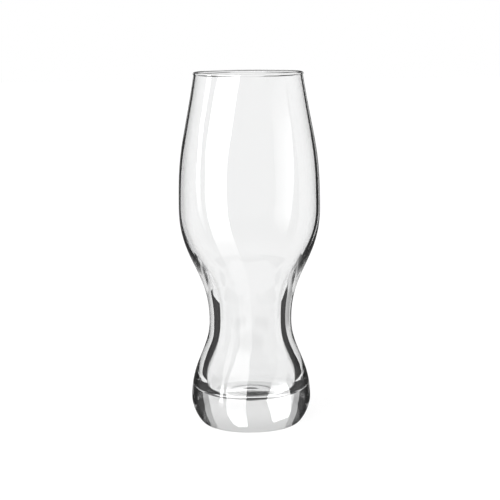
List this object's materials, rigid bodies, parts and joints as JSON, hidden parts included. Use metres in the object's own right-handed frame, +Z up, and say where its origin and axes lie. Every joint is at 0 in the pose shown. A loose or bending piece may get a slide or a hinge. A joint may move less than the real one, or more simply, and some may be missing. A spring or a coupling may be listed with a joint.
{
  "type": "weizen glass",
  "caption": "Tall clear beer glass with a beaded rim, a full rounded bowl, a narrow waist and a thick solid foot; it stands on its base and holds a drink.",
  "frame": {"origin": "centre of the glass on the table plane, at the level of the bearing ring", "axes": "+Z up along the axis of the glass; X and Y are equal, because the glass is round"},
  "size_m": [0.075, 0.075, 0.188],
  "materials": {
    "clear_glass": "clear polished soda-lime glass"
  },
  "bodies": {
    "root": {"rim_bead": "clear_glass", "bowl": "clear_glass", "foot": "clear_glass"}
  },
  "joints": []
}
